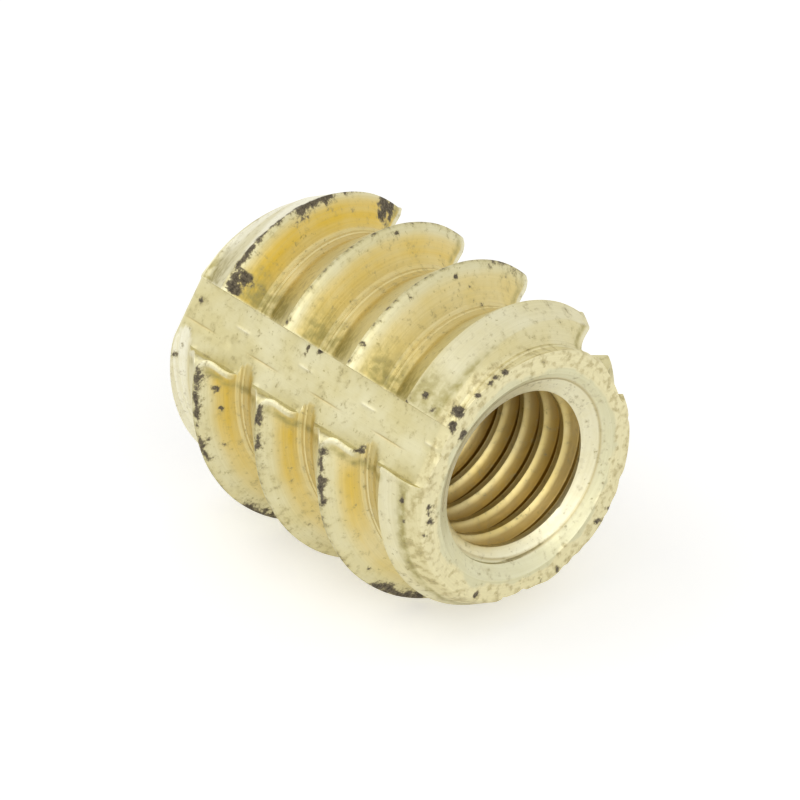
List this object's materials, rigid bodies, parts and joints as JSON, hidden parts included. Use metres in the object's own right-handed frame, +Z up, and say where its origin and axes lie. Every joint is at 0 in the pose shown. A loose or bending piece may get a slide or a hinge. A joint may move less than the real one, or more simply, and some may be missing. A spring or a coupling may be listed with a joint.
{
  "type": "threaded insert",
  "caption": "Brass screw-in insert with a coarse fluted outside thread and a countersunk machine-threaded bore, for wood or plastic.",
  "frame": {"origin": "on the axis of the bore, midway between the two end faces", "axes": "+X along the bore, out of the mouth face; +Z up, as the insert lies on the flute underneath"},
  "size_m": [0.016, 0.0142, 0.014],
  "materials": {
    "brass": "bright turned, with dark oxide stains"
  },
  "bodies": {
    "root": {"insert": "brass"}
  },
  "joints": []
}
